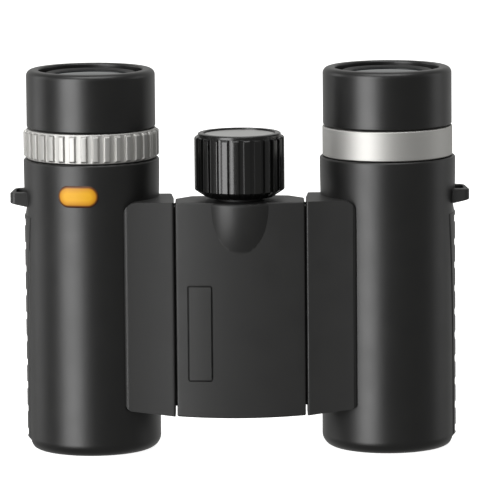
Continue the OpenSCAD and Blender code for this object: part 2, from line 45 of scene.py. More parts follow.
sides = ("left", "right")
print("frame loaded:", len(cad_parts), "nodes")


# places, all read from the frame, in millimetres
def span(node):
    low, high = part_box(node)
    return Vector(low) / mm, Vector(high) / mm


def middle(node):
    low, high = span(node)
    return (low + high) / 2


barrelAxis = {side: middle(side + "_eyecup_rubber") for side in sides}
wheelAxis = middle("focus_cap_disc")
wheelPlace = (wheelAxis.x, wheelAxis.y, 0)
hingeAxis = {side: middle(side + "_hinge_pins") for side in sides}
bridgeLow, bridgeHigh = span("bridge_housing")
coverLow, coverHigh = span("bridge_back_cover")
plateLow, plateHigh = span("name_plate")


def barrelPlace(side):
    return (barrelAxis[side].x, barrelAxis[side].y, 0)


cameraSetup = {
    "distance": 1.298,  # in front of the object's middle
    "height": 0.2364,
    "downDegrees": 8.09,
    "panDegrees": 0.02,
    "rollDegrees": -0.51,
    "lens": 389.7,  # long lens, so the barrels stay nearly parallel
    "sensorWidth": 36,
}

cameraData = bpy.data.cameras.new("camera")
cameraData.lens = cameraSetup["lens"]
cameraData.sensor_width = cameraSetup["sensorWidth"]
camera = bpy.data.objects.new("camera", cameraData)
bpy.context.scene.collection.objects.link(camera)
camera.matrix_world = (
    Matrix.Translation((0, -cameraSetup["distance"], cameraSetup["height"]))
    @ Matrix.Rotation(-math.radians(cameraSetup["panDegrees"]), 4, "Z")
    @ Matrix.Rotation(math.radians(90 - cameraSetup["downDegrees"]), 4, "X")
    @ Matrix.Rotation(math.radians(cameraSetup["rollDegrees"]), 4, "Z")
)
bpy.context.scene.camera = camera
bpy.context.scene.view_settings.view_transform = "Standard"  # plain colours, as a catalogue picture has


# materials, each named for what the real one is
def linear(hexColour):
    channels = [int(hexColour[i : i + 2], 16) / 255 for i in (1, 3, 5)]
    return tuple(c / 12.92 if c <= 0.04045 else ((c + 0.055) / 1.055) ** 2.4 for c in channels) + (1,)


def addNode(tree, kind, settings=None, links=None):
    node = tree.nodes.new(kind)
    for name, value in (settings or {}).items():
        if name in node.inputs:
            node.inputs[name].default_value = value
        else:
            setattr(node, name, value)
    for name, source in (links or {}).items():
        tree.links.new(source, node.inputs[name])
    return node


def newMaterial(name, shader):
    made = bpy.data.materials.new(name)
    made.use_nodes = True
    tree = made.node_tree
    tree.nodes.clear()
    surface = addNode(tree, "ShaderNodeBsdfPrincipled", shader)
    output = addNode(tree, "ShaderNodeOutputMaterial")
    tree.links.new(surface.outputs["BSDF"], output.inputs["Surface"])
    place = addNode(tree, "ShaderNodeTexCoord").outputs["Object"]
    return made, tree, surface, place


def addNoise(tree, sizeMm, place, settings):
    return addNode(
        tree, "ShaderNodeTexNoise", {"Scale": 1 / (sizeMm * mm), **settings}, {"Vector": place}
    ).outputs["Fac"]


def addBump(tree, surface, height, strength, depthMm):
    bump = addNode(
        tree, "ShaderNodeBump", {"Strength": strength, "Distance": depthMm * mm}, {"Height": height}
    )
    tree.links.new(bump.outputs["Normal"], surface.inputs["Normal"])


def addBlend(tree, surface, share, colours):
    blend = addNode(tree, "ShaderNodeMix", {"data_type": "RGBA"})
    blend.inputs[6].default_value = linear(colours[0])
    blend.inputs[7].default_value = linear(colours[1])
    tree.links.new(share, blend.inputs[0])
    tree.links.new(blend.outputs[2], surface.inputs["Base Color"])


def addGloss(tree, surface, value, roughness):
    gloss = addNode(
        tree,
        "ShaderNodeMapRange",
        {"From Min": 0.3, "From Max": 0.7, "To Min": roughness[0], "To Max": roughness[1]},
        {"Value": value},
    )
    tree.links.new(gloss.outputs["Result"], surface.inputs["Roughness"])


def grainyMaterial(name, colours, grainMm, depthMm, roughness, shader=None, mottleMm=6):
    # a moulded skin: an even grain in the bump, a faint mottle in colour and gloss
    settings = {"Roughness": roughness[0], "IOR": 1.5}
    settings.update(shader or {})
    made, tree, surface, place = newMaterial(name, settings)
    grain = addNoise(tree, grainMm, place, {"Detail": 2.0, "Roughness": 0.55})
    addBump(tree, surface, grain, 0.6, depthMm)
    mottle = addNoise(tree, mottleMm, place, {"Detail": 3.0})
    addBlend(tree, surface, mottle, colours)
    addGloss(tree, surface, mottle, roughness)
    return made


def metalMaterial(name, colours, grainMm, depthMm, roughness, stretch=(1, 1, 1)):
    # one noise drives the bump, the colour and the gloss; stretch squeezes it along an axis
    made, tree, surface, place = newMaterial(name, {"Metallic": 1.0, "Roughness": roughness[0]})
    stretched = addNode(tree, "ShaderNodeMapping", {"Scale": stretch}, {"Vector": place})
    grain = addNoise(tree, grainMm, stretched.outputs["Vector"], {"Detail": 3.0})
    addBump(tree, surface, grain, 0.5, depthMm)
    addBlend(tree, surface, grain, colours)
    addGloss(tree, surface, grain, roughness)
    return made


def glassMaterial(name, colour, tint):
    made, tree, surface, place = newMaterial(
        name,
        {
            "Base Color": linear(colour),
            "Roughness": 0.03,
            "IOR": 1.52,
            "Coat Weight": 0.6,
            "Coat Roughness": 0.03,
            "Coat IOR": 1.38,
            "Coat Tint": linear(tint),
        },
    )
    # the coating is a little uneven, which shows as a slow drift in the colour
    drift = addNoise(tree, 8, place, {"Detail": 1.0})
    scaled = addNode(tree, "ShaderNodeMath", {"operation": "MULTIPLY"})
    tree.links.new(drift, scaled.inputs[0])
    scaled.inputs[1].default_value = 0.25
    addBlend(tree, surface, scaled.outputs["Value"], (colour, tint))
    return made


def resinMaterial(name, stops):
    # rimness is 0 in the middle of the dome and 1 at its edge; through the ramp it darkens the colour towards
    # the rim as painted shade
    made, tree, surface, place = newMaterial(name, {"Roughness": 0.5, "IOR": 1.5})
    rim = addNode(tree, "ShaderNodeAttribute", {"attribute_name": "rimShade"})
    ramp = addNode(tree, "ShaderNodeValToRGB", links={"Fac": rim.outputs["Fac"]})
    elements = ramp.color_ramp.elements
    first, *between, last = stops
    for element, (position, colour) in zip(elements, (first, last)):
        element.position = position
        element.color = linear(colour)
    for position, colour in between:
        elements.new(position).color = linear(colour)
    # the ramp's orange and brown stops are painted shade on the steep rim, not the resin's own colour
    tree.links.new(ramp.outputs["Color"], surface.inputs["Base Color"])
    addBump(tree, surface, addNoise(tree, 0.5, place, {"Detail": 2.0}), 0.2, 0.01)
    return made


# the thin lacquer that soft-touch and moulded black parts carry, which adds to the sheen
softSkin = {"Coat Weight": 0.2, "Coat Roughness": 0.34, "Coat IOR": 1.5}

# name: two colours, grain in mm, depth in mm, two roughnesses, then what only some have
skins = {
    # soft-touch rubber over the barrels: matte, a broad dull highlight
    "softTouchRubber": (("#0e0e0e", "#121211"), 0.22, 0.01, (0.4, 0.45), softSkin),
    # glass-filled nylon with a fine spark-eroded skin: flatter and a touch greyer than the rubber
    "sparkErodedNylon": (("#181818", "#1d1d1c"), 0.3, 0.012, (0.5, 0.56), softSkin),
    # moulded ABS of the inset plate: smoother than the nylon round it
    "mouldedAbs": (("#171716", "#1b1b1a"), 0.2, 0.006, (0.4, 0.44), softSkin),
    # silicone rubber of the eyecups: smoother, so the highlight is tighter
    "siliconeRubber": (("#0b0b0b", "#0f0f0e"), 0.15, 0.006, (0.36, 0.4), softSkin),
    # hard polished rubber of the focus wheel: glossy, with bright edges
    "polishedRubber": (("#0a0a0a", "#0d0d0c"), 0.12, 0.003, (0.22, 0.26), softSkin),
    # blackened plastic of the parts inside: no lacquer, so it stays dull beside the outer skins
    "blackenedPlastic": (("#0f0f10", "#131313"), 0.2, 0.008, (0.5, 0.6)),
}
metals = {
    # bead-blasted and clear anodised aluminium: soft wide highlight, no streaks
    "beadBlastedAluminium": (("#c4c3c0", "#cdccc9"), 0.12, 0.004, (0.56, 0.61)),
    # turned aluminium disc on the wheel: lighter and smoother than the rings, with an even grain
    "turnedAluminium": (("#cdcdcc", "#dadad9"), 0.4, 0.004, (0.36, 0.44), (1, 1, 0.1)),
    # ground steel pins, rods and screws: a tight highlight with fine lines up and down
    "groundSteel": (("#9d9d9f", "#b2b2b4"), 0.3, 0.003, (0.25, 0.32), (1, 1, 0.06)),
    # cast alloy of the carriage and the focusing cells: dull, with the coarsest bump
    "castAlloy": (("#8c8c8f", "#9b9b9d"), 0.4, 0.02, (0.45, 0.55)),
    # machined brass nut: a warm spot among the steel
    "machinedBrass": (("#b8934a", "#c7a35a"), 0.3, 0.003, (0.25, 0.32), (1, 1, 0.1)),
}

finishes = {name: grainyMaterial(name, *values) for name, values in skins.items()}
finishes.update({name: metalMaterial(name, *values) for name, values in metals.items()})
# coated lens glass: nearly black, with a blue-grey sheen
finishes["coatedGlass"] = glassMaterial("coatedGlass", "#12181a", "#3d5a66")
# cast amber resin over a printed ground: deep yellow in the middle; the orange and brown towards the rim are
# painted shade where the dome turns steep
finishes["amberResin"] = resinMaterial(
    "amberResin", ((0.3, "#e8ab06"), (0.7, "#d08d08"), (0.84, "#6a3807"), (1.0, "#241105"))
)
print("materials made:", len(finishes))


# shapes: meshes are drawn in millimetres and made metres by finishMesh
def roundCorners(corners, steps=6):
    # closed outline from (x, y, radius) corners; each corner becomes an arc
    points = []
    count = len(corners)
    for i, (x, y, radius) in enumerate(corners):
        here = Vector((x, y))
        if radius <= 0:
            points.append(here)
            continue
        before = (Vector(corners[i - 1][:2]) - here).normalized()
        after = (Vector(corners[(i + 1) % count][:2]) - here).normalized()
        turn = before.angle(after)
        reach = radius / math.tan(turn / 2)
        centre = here + (before + after).normalized() * (radius / math.sin(turn / 2))
        start = here + before * reach - centre
        end = here + after * reach - centre
        sweep = start.angle_signed(end)
        for k in range(steps + 1):
            angle = sweep * k / steps
            # angle_signed is clockwise, so the rotation takes the opposite sign
            c, s = math.cos(-angle), math.sin(-angle)
            points.append(centre + Vector((start.x * c - start.y * s, start.x * s + start.y * c)))
    return points


def roundedBox(x0, x1, y0, y1, radius, steps):
    return roundCorners([(x0, y0, radius), (x1, y0, radius), (x1, y1, radius), (x0, y1, radius)], steps)


def finishMesh(name, bm, finish, body, stands=(), sharpDegrees=32, at=(0, 0, 0)):
    bmesh.ops.translate(bm, vec=Vector(at), verts=bm.verts)
    bmesh.ops.scale(bm, vec=(mm, mm, mm), verts=bm.verts)
    bmesh.ops.recalc_face_normals(bm, faces=bm.faces)
    for face in bm.faces:
        face.smooth = True
    for edge in bm.edges:
        edge.smooth = len(edge.link_faces) == 2 and edge.calc_face_angle(0) < math.radians(sharpDegrees)
    mesh = bpy.data.meshes.new(name)
    bm.to_mesh(mesh)
    bm.free()
    piece = bpy.data.objects.new(name, mesh)
    bpy.context.scene.collection.objects.link(piece)
    mesh.materials.append(finishes[finish])
    weighted = piece.modifiers.new("weighted", "WEIGHTED_NORMAL")
    weighted.keep_sharp = True
    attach(piece, body)
    if stands:
        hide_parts(*stands)


def turned(outline, steps=180, reshape=None, angles=None):
    # turns a closed (radius, height) outline about Z; reshape may move a point's radius
    bm = bmesh.new()
    if angles is None:
        angles = [2 * math.pi * i / steps for i in range(steps)]
    rings = []
    for angle in angles:
        ring = []
        for point in outline:
            radius = max(point[0], 0)
            if reshape:
                radius = reshape(radius, point[1], angle)
            ring.append(bm.verts.new((radius * math.cos(angle), radius * math.sin(angle), point[1])))
        rings.append(ring)
    count = len(outline)
    for i, ring in enumerate(rings):
        following = rings[(i + 1) % len(rings)]
        for k in range(count):
            n = (k + 1) % count
            bm.faces.new((ring[k], following[k], following[n], ring[n]))
    bmesh.ops.remove_doubles(bm, verts=bm.verts, dist=1e-5)
    return bm


def prism(outline, low, high):
    # a solid from a closed (x, y) outline
    bm = bmesh.new()
    bottom = [bm.verts.new((p[0], p[1], low)) for p in outline]
    top = [bm.verts.new((p[0], p[1], high)) for p in outline]
    bm.faces.new(list(reversed(bottom)))
    bm.faces.new(top)
    count = len(outline)
    for i in range(count):
        n = (i + 1) % count
        bm.faces.new((bottom[i], bottom[n], top[n], top[i]))
    return bm


def block(x0, x1, y0, y1, low, high):
    return prism([(x0, y0), (x1, y0), (x1, y1), (x0, y1)], low, high)


def moveVerts(bm, move):
    # move takes x, y and z and gives the new place
    for v in bm.verts:
        v.co = move(*v.co)
    return bm


def sliceAcross(bm, places):
    # cuts the faces at these x, so that they can be bent afterwards
    for place in places:
        geometry = list(bm.verts) + list(bm.edges) + list(bm.faces)
        bmesh.ops.bisect_plane(
            bm, geom=geometry, plane_co=Vector((place, 0, 0)), plane_no=(1, 0, 0), dist=1e-6
        )


def isBetween(edge, test):
    # true for an edge with a face on one side whose normal passes, and on the other one that doesn't
    faces = edge.link_faces
    return len(faces) == 2 and test(faces[0].normal) != test(faces[1].normal)


def roundEdges(bm, test, radius, steps=5):
    bm.normal_update()
    edges = [e for e in bm.edges if test(e)]
    bmesh.ops.bevel(
        bm,
        geom=edges,
        offset=radius,
        offset_type="OFFSET",
        segments=steps,
        profile=0.5,
        affect="EDGES",
        clamp_overlap=True,
    )


def carve(bm, tool, operation="DIFFERENCE"):
    # exact boolean of two bmeshes, both in millimetres
    objects = []
    for shape in (bm, tool):
        bmesh.ops.recalc_face_normals(shape, faces=shape.faces)
        mesh = bpy.data.meshes.new("carve")
        shape.to_mesh(mesh)
        shape.free()
        made = bpy.data.objects.new("carve", mesh)
        bpy.context.scene.collection.objects.link(made)
        objects.append(made)
    cutter = objects[0].modifiers.new("cut", "BOOLEAN")
    cutter.operation = operation
    cutter.solver = "EXACT"
    cutter.object = objects[1]
    graph = bpy.context.evaluated_depsgraph_get()
    result = bmesh.new()
    evaluated = objects[0].evaluated_get(graph)
    result.from_mesh(evaluated.to_mesh())
    evaluated.to_mesh_clear()
    for made in objects:
        mesh = made.data
        bpy.data.objects.remove(made)
        bpy.data.meshes.remove(mesh)
    bmesh.ops.remove_doubles(result, verts=result.verts, dist=1e-4)
    return result


def rodShape(radius, low, high, at=(0, 0), edge=0.25, steps=64):
    outline = roundCorners([(0, low, 0), (radius, low, edge), (radius, high, edge), (0, high, 0)], 3)
    bm = turned(outline, steps)
    bmesh.ops.translate(bm, vec=(at[0], at[1], 0), verts=bm.verts)
    return bm


def mirrored(bm, side):
    if side == "left":
        bmesh.ops.scale(bm, vec=(-1, 1, 1), verts=bm.verts)
        bmesh.ops.reverse_faces(bm, faces=bm.faces)
    return bm


def fade(value, low, high):
    t = min(max((value - low) / (high - low), 0), 1)
    return t * t * (3 - 2 * t)


# barrels, drawn about the right barrel's axis with the bridge towards -X
armour = {
    "radius": 16.7,
    "flare": 0.25,  # how far the top stands out, above the lug
    "flareHeights": (56, 71),
    "footRound": 3.2,
    "topRound": 0.5,
    "capRadius": 12.8,
    "capDepth": 3.6,
    "thickness": 1.4,
    "notchDepth": 0.4,  # notch under the strap lug
    "notchHeights": (60.3, 61.4),
    "ringHeights": (58.5, 62.5),  # where the mesh gets extra rings for the notch
    # height and radius where the flat under the side grip starts and ends
    "footFacet": (1.0, 15.0, 3.3, 16.95),
    "fadeAngles": (14, 19),  # the notch and the flat fade out this far round from the +X side
}


def facetRadius(height):
    z0, r0, z1, r1 = armour["footFacet"]
    return r0 + (r1 - r0) * (height - z0) / (z1 - z0)


def armourRadius(radius, height, angle):
    # outer skin only: the notch under the lug and the flat at the foot, both on the +X side
    a = armour
    if radius < a["radius"] - a["footRound"] + 0.2:
        return radius
    turn = abs(math.degrees(math.atan2(math.sin(angle), math.cos(angle))))
    near = 1 - fade(turn, *a["fadeAngles"])
    low, high = a["notchHeights"]
    notch = fade(height, low - 0.9, low) * (1 - fade(height, high, high + 0.1)) * near
    if radius > a["radius"] - 1:
        radius -= notch * a["notchDepth"]
    if height < a["footFacet"][2]:
        radius += (min(radius, facetRadius(height)) - radius) * near
    return radius


def barrelArmour(side):
    top = span(side + "_armour")[1].z
    a = armour
    inner = a["radius"] - a["thickness"]
    flareLow, flareHigh = a["flareHeights"]
    corners = [
        (a["capRadius"], a["capDepth"], 0),
        (a["capRadius"], 0, 0.25),
        (a["radius"], 0, a["footRound"]),
        (a["radius"], flareLow, 0),
    ]
    for z in range(flareLow + 1, flareHigh + 1, 2):
        corners.append((a["radius"] + a["flare"] * fade(z, flareLow, flareHigh), z, 0))
    corners += [(a["radius"] + a["flare"], top, a["topRound"]), (inner, top, 0), (inner, a["capDepth"], 0)]
    outline = roundCorners(corners, 10)
    ringLow, ringHigh = a["ringHeights"]
    dense = []
    for i, point in enumerate(outline):
        dense.append(point)
        after = outline[(i + 1) % len(outline)]
        rise = after.y - point.y
        if abs(after.x - point.x) < 0.3 and rise > 2 and point.x > a["radius"] - 0.1:
            pieces = int(rise / 0.2)
            for k in range(1, pieces):
                if ringLow < point.y + rise * k / pieces < ringHigh:
                    dense.append(point.lerp(after, k / pieces))
    return turned(dense, 240, armourRadius)


sideGrip = {
    "proud": 0.2,  # above the armour
    "sunk": 0.25,  # how far its border sits below the armour's surface
    "low": 1.9,
    "high": 59.4,
    "halfAngles": (17, 26),  # at the foot and at the top
    "ribAngle": 11,  # the grooves only cross the outermost part
    "ribPitch": 5.9,
    "ribGap": 1.9,
    "grooveDepth": 0.22,
    "firstGroove": 9.1,
    "lastGroove": 1.2,  # no groove closer to the top than this
    "borderRound": 0.45,
    "aboveFacet": 0.08,
    "columns": 36,
    "rowHeight": 0.2,
}


def gripPad():
    g = sideGrip
    bm = bmesh.new()
    base = armour["radius"] - 0.5
    rows = int((g["high"] - g["low"]) / g["rowHeight"])
    grid = []
    for j in range(rows + 1):
        z = g["low"] + (g["high"] - g["low"]) * j / rows
        half = g["halfAngles"][0] + (g["halfAngles"][1] - g["halfAngles"][0]) * (z / g["high"]) ** 3
        offset = (z - g["firstGroove"] + g["ribPitch"] / 2) % g["ribPitch"] - g["ribPitch"] / 2
        inGroove = 1 - fade(abs(offset - g["ribGap"] / 2), g["ribGap"] / 2 - 0.12, g["ribGap"] / 2 + 0.12)
        if z > g["high"] - g["lastGroove"]:
            inGroove = 0
        line = []
        for i in range(g["columns"] + 1):
            share = 2 * i / g["columns"] - 1
            # the columns stand closer together at the borders
            share = math.copysign(1 - (1 - abs(share)) ** 1.5, share)
            angle = math.radians(half * share)
            border = (1 - abs(share)) * math.radians(half) * armour["radius"]
            inward = min(border, g["high"] - z, g["borderRound"]) / g["borderRound"]
            edge = math.sqrt(max(0, 1 - (1 - inward) ** 2))
            ribs = inGroove * (1 - fade(abs(math.degrees(angle)), g["ribAngle"] - 1, g["ribAngle"] + 0.5))
            radius = armour["radius"] - g["sunk"] + (g["proud"] + g["sunk"]) * edge - g["grooveDepth"] * ribs
            radius = min(radius, facetRadius(z) + g["aboveFacet"])
            line.append(bm.verts.new((radius * math.cos(angle), radius * math.sin(angle), z)))
        inner = []
        for v in (line[0], line[-1]):
            depth = min(base, v.co.xy.length - 0.4)
            angle = math.atan2(v.co.y, v.co.x)
            inner.append(bm.verts.new((depth * math.cos(angle), depth * math.sin(angle), z)))
        grid.append([inner[0]] + line + [inner[1]])
    width = len(grid[0])
    for j in range(rows):
        for i in range(width):
            n = (i + 1) % width
            bm.faces.new((grid[j][i], grid[j][n], grid[j + 1][n], grid[j + 1][i]))
    bm.faces.new(list(reversed(grid[0])))
    bm.faces.new(grid[-1])
    return bm


arm = {
    "edge": 8.0,  # outer edge, from the barrel axis
    "frontInner": 15.9,  # how far forward the face stands at the hinge, and at its outer edge
    "frontOuter": 15.1,
    "crown": -0.15,
    "back": 2.2,
    "innerSlope": 0.7,
    "edgeRound": 1.3,
    "topCorner": 3.6,
    "lowCorner": 2.0,
    "footRise": (0.4, 1.5),  # how far the foot stands above the bridge's at the hinge, and how much it climbs
    "knuckles": ((19, 26), (50, 57)),
    "knuckleRadius": 3.2,
    "knuckleGap": 0.15,
    "recessRadius": 3.5,
    "recessEnds": (2.4, 1.3),  # above the foot of the bridge and below its top
    "rebateAcross": (-1, 1.3),  # from the hinge axis
    "rebateAhead": (5.2, 3.4),
    "rebateEnds": (2.3, 1.2),
}


def frontArc(x0, y0, x1, y1, crown, steps):
    # shallow arc between two points; a negative crown sinks it below the straight line
    points = []
    for i in range(steps + 1):
        t = i / steps
        points.append((x0 + (x1 - x0) * t, y0 + (y1 - y0) * t - 4 * crown * t * (1 - t)))
    return points


def barrelArm():
    a = arm
    hinge = hingeAxis["right"] - barrelAxis["right"]
    inner = hinge.x + 0.2
    low, high = bridgeLow.z, bridgeHigh.z
    arc = frontArc(inner, -a["frontInner"], -a["edge"], -a["frontOuter"], a["crown"], 14)
    corners = [(arc[0][0], arc[0][1], 0.45)]
    corners += [(x, y, 0) for x, y in arc[1:-1]]
    corners += [
        (arc[-1][0], arc[-1][1], 1.1),
        (-a["edge"], -11, 0),
        (-13, a["back"], 0),
        (inner + a["innerSlope"], a["back"], 0.8),
        (inner, hinge.y, 0),
    ]
    bm = prism(roundCorners(corners, 5), low, high)
    cuts = [-a["edge"] - a["topCorner"] * (1 - math.sin(math.radians(t))) for t in range(0, 90, 9)]
    sliceAcross(bm, cuts + [inner + 2, inner + 4, inner + 6])
    # both outer corners are rounded, and the foot climbs away from the hinge
    start, climb = a["footRise"]
    for v in bm.verts:
        x = v.co.x
        if v.co.z > high - 1:
            into = max(0, x + a["edge"] + a["topCorner"])
            v.co.z = high - a["topCorner"] + math.sqrt(max(0, a["topCorner"] ** 2 - into ** 2))
        else:
            rise = start + climb * (x - inner) / (-a["edge"] - inner)
            into = max(0, x + a["edge"] + a["lowCorner"])
            drop = a["lowCorner"] - math.sqrt(max(0, a["lowCorner"] ** 2 - min(into, 1.9) ** 2))
            v.co.z = low + rise + drop
    roundEdges(bm, lambda e: isBetween(e, lambda normal: abs(normal.z) > 0.3), a["edgeRound"], 6)
    (firstLow, firstHigh), (lastLow, lastHigh) = a["knuckles"]
    gap = a["knuckleGap"]
    recesses = [
        (low + a["recessEnds"][0], firstLow - gap),
        (firstHigh + gap, lastLow - gap),
        (lastHigh + gap, high - a["recessEnds"][1]),
    ]
    for bottom, top in recesses:
        bm = carve(bm, rodShape(a["recessRadius"], bottom, top, (hinge.x, hinge.y), 0))
    # rebate behind the gap, which clears the bridge's lip
    left, right = (hinge.x + across for across in a["rebateAcross"])
    near, far = (hinge.y - ahead for ahead in a["rebateAhead"])
    above, below = a["rebateEnds"]
    bm = carve(bm, block(left, right, near, far, low + above, high - below))
    for bottom, top in a["knuckles"]:
        bm = carve(bm, rodShape(a["knuckleRadius"], bottom, top, (hinge.x, hinge.y), 0.3), "UNION")
    return bm


strapLug = {
    "root": 14.5,  # where it starts, inside the armour
    "length": 11.0,
    "reach": 20.4,
    "taper": 1.1,  # the back end stands out less than the front
    "frontRound": 1.3,
    "backRound": 2.2,
    "undercut": 1.3,
    "undercutFrom": 16.4,
    "undercutTo": 22,
    "slot": (6.4, 2.4),
    "slotRound": 1.0,
    "slotAt": 17.7,
    "edge": 0.4,
}


def lugShape(low, high):
    s = strapLug
    half = s["length"] / 2
    outline = roundCorners(
        [
            (s["root"], -half, 0),
            (s["reach"], -half, s["frontRound"]),
            (s["reach"] - s["taper"], half, s["backRound"]),
            (s["root"], half, 0),
        ],
        4,
    )
    bm = prism(outline, low, high)
    start, end = s["undercutFrom"], s["undercutTo"]
    corners = [(start, low - 1), (end, low - 1), (end, low + s["undercut"]), (start, low)]
    wedge = prism(corners, -half - 1, half + 1)
    bm = carve(bm, moveVerts(wedge, lambda x, z, y: (x, y, z)))
    halfLength, halfWidth = s["slot"][0] / 2, s["slot"][1] / 2
    at = s["slotAt"]
    slot = roundedBox(at - halfWidth, at + halfWidth, -halfLength, halfLength, s["slotRound"], 5)
    bm = carve(bm, prism(slot, low - 2, high + 2))
    roundEdges(
        bm,
        lambda e: len(e.link_faces) == 2
        and e.calc_face_angle(0) > 0.6
        and min(v.co.x for v in e.verts) > s["root"] + 0.1,
        s["edge"],
        3,
    )
    return bm


for side in sides:
    body = side + "_barrel"
    lugLow, lugHigh = span(side + "_strap_lug")
    barrelPieces = (
        ("ArmourSkin", barrelArmour(side), "softTouchRubber", "_armour", "armour_rubber"),
        ("GripPad", gripPad(), "softTouchRubber", "_side_grip", "armour_rubber"),
        ("HingeArm", barrelArm(), "sparkErodedNylon", "_barrel_housing", "body_plastic"),
        ("StrapLoop", lugShape(lugLow.z, lugHigh.z), "sparkErodedNylon", "_strap_lug", "body_plastic"),
    )
    for ending, shape, finish, node, slot in barrelPieces:
        shape = mirrored(shape, side)
        finishMesh(side + ending, shape, finish, body, [side + node], at=barrelPlace(side))
print("barrels built")

bridge = {
    "front": 17.0,  # how far its face stands before the barrel axes
    "bulge": 1.1,
    "edgeRound": 1.4,
    "sideRound": 0.4,
    "bow": 0.45,  # how much lower the foot hangs in the middle
    "knuckles": ((12.3, 18.8), (26.2, 33.3), (42.7, 49.8), (57.2, 62.3)),
    "knuckleRadius": 3.2,
    "recessRadius": 3.5,
    "lipOut": 0.5,  # middle of the lip, beside the shell
    "lipHalf": 0.6,
    "lipAhead": (4.9, 3.8),  # of the hinge axis
    "backAngle": 130,
    "backFlat": 8,
    "backDrop": 0.4,
    "backRound": 1.5,
    "bumpRadius": 10.9,
    "bumpProud": 2.45,  # how far the bump stands out of the face at the top
    "bumpHeight": 13.0,  # where it has sunk back into the face
    "bumpTopRound": 0.9,
    "bumpReach": 9.5,  # it is cut off this far to the sides
    "plateInset": 1.2,
    "plateGap": 0.14,
}
bridgeWidth = 2 * (abs(hingeAxis["right"].x) - 0.2)
bridgeFront = barrelAxis["right"].y - bridge["front"]


def bridgeFace(x):
    return bridgeFront + bridge["bulge"] * (x / (bridgeWidth / 2)) ** 2


def plateBlock(grow, depth):
    # upright block with the outline of the name plate, from the bottom of its pocket forwards
    outline = roundedBox(
        plateLow.x - grow, plateHigh.x + grow, plateLow.z - grow, plateHigh.z + grow, 0.6 + grow, 5
    )
    back = bridgeFront + bridge["plateInset"]
    bm = moveVerts(prism(outline, 0, depth), lambda x, z, ahead: (x, back - ahead, z))
    bmesh.ops.reverse_faces(bm, faces=bm.faces)
    return bm


def wheelBump():
    # half-round bump under the wheel: an upright cylinder that sinks back into the face
    b = bridge
    top = bridgeHigh.z - 0.01
    foot = top - b["bumpHeight"] - 2
    corners = [(0, foot, 0)]
    corners += [(b["bumpRadius"], foot + i, 0) for i in range(int(top - foot))]
    corners += [(b["bumpRadius"], top, b["bumpTopRound"]), (0, top, 0)]
    bump = turned(roundCorners(corners, 6), 160)
    axisY = bridgeFront - b["bumpProud"] + b["bumpRadius"]
    for v in bump.verts:
        sunk = (top - v.co.z) / b["bumpHeight"]
        v.co.x += wheelAxis.x
        v.co.y += axisY + b["bumpProud"] * sunk ** 2
    reach = b["bumpReach"]
    trim = block(-reach, reach, bridgeFront - 9, wheelAxis.y, foot - 5, top + 5)
    return carve(bump, trim, "INTERSECT")


def bridgeShell():
    b = bridge
    half = bridgeWidth / 2
    hingeY = hingeAxis["right"].y
    back = coverHigh.y
    side = back - b["backDrop"]
    run = (side - hingeY) / math.tan(math.radians(180 - b["backAngle"]))
    front = [(-half + bridgeWidth * i / 28, bridgeFace(-half + bridgeWidth * i / 28)) for i in range(29)]
    corners = [(front[0][0], front[0][1], b["sideRound"])]
    corners += [(x, y, 0) for x, y in front[1:-1]]
    corners += [
        (front[-1][0], front[-1][1], b["sideRound"]),
        (half, hingeY, 0),
        (half - run, side, b["backRound"]),
        (b["backFlat"], back, 0),
        (-b["backFlat"], back, 0),
        (-half + run, side, b["backRound"]),
        (-half, hingeY, 0),
    ]
    bm = prism(roundCorners(corners, 4), bridgeLow.z, bridgeHigh.z)
    sliceAcross(bm, [x for x, y in front[2:-2:2]])
    for v in bm.verts:
        if v.co.z < bridgeLow.z + 1:
            v.co.z = bridgeLow.z + b["bow"] * (v.co.x / half) ** 2
    roundEdges(bm, lambda e: isBetween(e, lambda normal: abs(normal.z) > 0.5), b["edgeRound"], 6)
    bm = carve(bm, wheelBump(), "UNION")
    knuckles = b["knuckles"]
    near, far = (hingeY - ahead for ahead in b["lipAhead"])
    for sign in (-1, 1):
        at = (sign * hingeAxis["right"].x, hingeY)
        for lower, upper in zip(knuckles[:-1], knuckles[1:]):
            bm = carve(bm, rodShape(b["recessRadius"], lower[1], upper[0], at, 0))
        for bottom, top in knuckles:
            bm = carve(bm, rodShape(b["knuckleRadius"], bottom, top, at, 0.3), "UNION")
        lipX = sign * (half + b["lipOut"])
        left, right = lipX - b["lipHalf"], lipX + b["lipHalf"]
        bm = carve(bm, block(left, right, near, far, knuckles[0][0], knuckles[-1][1]), "UNION")
    # pocket for the inset plate, one gap wider all round
    bm = carve(bm, plateBlock(b["plateGap"], 6))
    # pocket that the back cover drops into
    pocket = block(-12, 12, -coverHigh.z, -coverLow.z, -6, 0)
    return carve(bm, moveVerts(pocket, lambda x, y, z: (x, coverLow.y - z, -y)))


finishMesh("bridgeShell", bridgeShell(), "sparkErodedNylon", "bridge", ["bridge_housing"], 28)

plate = {
    "shrink": 0.3,
    "below": 0.04,  # behind the face of the bridge
    "edgeRound": 0.18,
}


def insetPlate():
    bm = plateBlock(-plate["shrink"], 3)
    sliceAcross(bm, [plateLow.x + (plateHigh.x - plateLow.x) * i / 6 for i in range(1, 6)])
    for v in bm.verts:
        if v.co.y < bridgeFront + bridge["plateInset"] - 1:
            v.co.y = bridgeFace(v.co.x) + plate["below"]
    roundEdges(
        bm,
        lambda e: isBetween(e, lambda normal: normal.y < -0.8)
        and max(v.co.y for v in e.verts) < bridgeFront + 1,
        plate["edgeRound"],
        3,
    )
    return bm


finishMesh("insetPlate", insetPlate(), "mouldedAbs", "bridge", ["name_plate"])

cover = {
    "halfWidth": 11.9,
    "gap": 0.1,
    "crown": 0.1,  # how fast the back falls off outside the flat
    "cornerRound": 0.8,
    "edgeRound": 0.35,
    "panelHalf": 7.6,
    "panelInset": 4.2,  # from the ends of the cover
    "panelRound": 1.5,
    "panelDepth": 0.25,
    "screwInset": 1.4,  # from the outside of the screws to their axes
    "screwRadius": 1.55,
    "wellFloor": 0.9,
}


